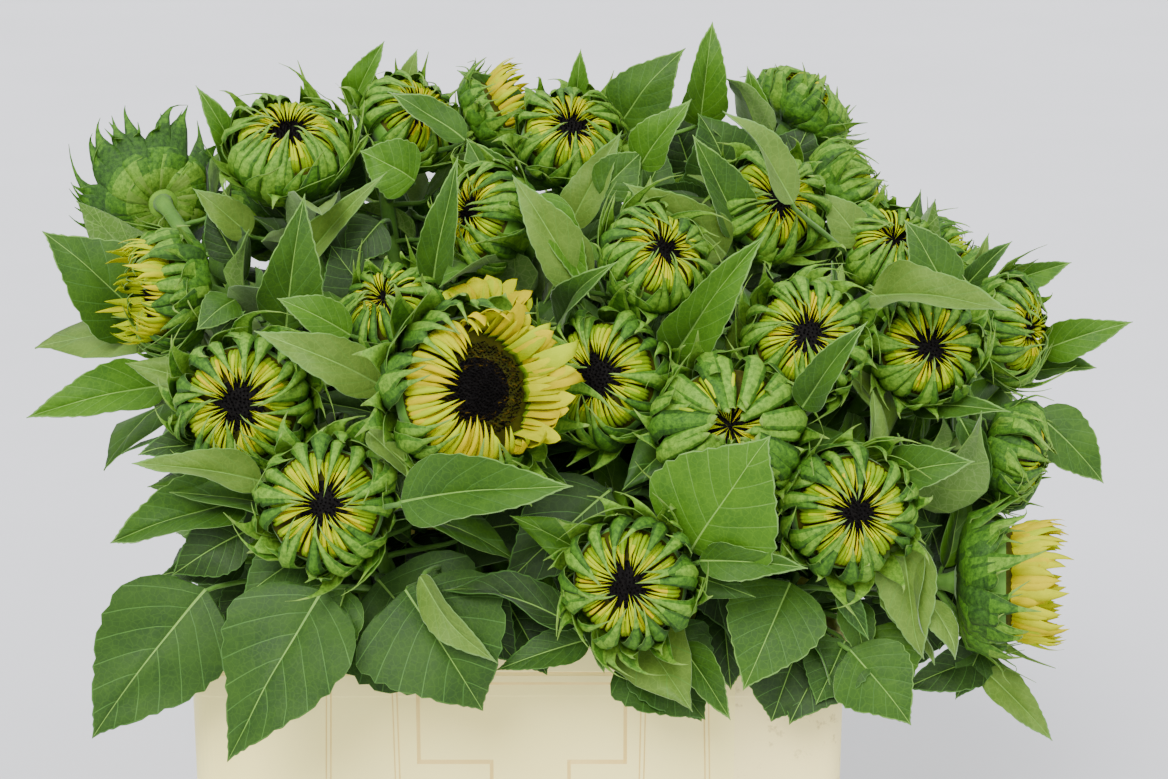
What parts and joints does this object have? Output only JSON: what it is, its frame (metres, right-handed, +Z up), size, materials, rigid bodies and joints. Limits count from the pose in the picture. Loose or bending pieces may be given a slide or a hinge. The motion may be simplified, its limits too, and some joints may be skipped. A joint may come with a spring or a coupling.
{
  "type": "crate of cut sunflowers",
  "caption": "Dense clump of half-open cut sunflowers on leafy stems, standing upright in a rectangular plastic flower crate.",
  "frame": {"origin": "centre of the crate's flat underside", "axes": "+Z up; +X along the crate's long side, to the right as seen from its front; +Y towards its back"},
  "size_m": [0.7099, 0.4879, 0.6074],
  "materials": {
    "crate_plastic": "satin cream moulded plastic, scuffed",
    "leaf_green": "matt, veined, finely hairy",
    "bract_green": "matt, hairy",
    "petal_yellow": "soft satin",
    "floret_dark": "matt, grainy"
  },
  "bodies": {
    "root": {"crate": "crate_plastic", "leafy_stem_01": "leaf_green", "bloom_01": "bract_green", "leafy_stem_02": "leaf_green", "bloom_02": "bract_green", "leafy_stem_03": "leaf_green", "bloom_03": "bract_green", "leafy_stem_04": "leaf_green", "bloom_04": "bract_green", "leafy_stem_05": "leaf_green", "bloom_05": "bract_green", "leafy_stem_06": "leaf_green", "bloom_06": "bract_green", "leafy_stem_07": "leaf_green", "bloom_07": "bract_green", "leafy_stem_08": "leaf_green", "bloom_08": "bract_green", "leafy_stem_09": "leaf_green", "bloom_09": "bract_green", "leafy_stem_10": "leaf_green", "bloom_10": "bract_green", "leafy_stem_11": "leaf_green", "bloom_11": "bract_green", "leafy_stem_12": "leaf_green", "bloom_12": "bract_green", "leafy_stem_13": "leaf_green", "bloom_13": "bract_green", "leafy_stem_14": "leaf_green", "bloom_14": "bract_green", "leafy_stem_15": "leaf_green", "bloom_15": "bract_green", "leafy_stem_16": "leaf_green", "bloom_16": "bract_green", "leafy_stem_17": "leaf_green", "bloom_17": "bract_green", "leafy_stem_18": "leaf_green", "bloom_18": "bract_green", "leafy_stem_19": "leaf_green", "bloom_19": "bract_green", "leafy_stem_20": "leaf_green", "bloom_20": "bract_green", "leafy_stem_21": "leaf_green", "bloom_21": "bract_green", "leafy_stem_22": "leaf_green", "bloom_22": "bract_green", "leafy_stem_23": "leaf_green", "bloom_23": "bract_green", "leafy_stem_24": "leaf_green", "bloom_24": "bract_green", "leafy_stem_25": "leaf_green", "leafy_stem_26": "leaf_green", "leafy_stem_27": "leaf_green", "leafy_stem_28": "leaf_green", "leafy_stem_29": "leaf_green", "leafy_stem_30": "leaf_green", "leafy_stem_31": "leaf_green", "leafy_stem_32": "leaf_green", "leafy_stem_33": "leaf_green", "leafy_stem_34": "leaf_green"}
  },
  "joints": []
}
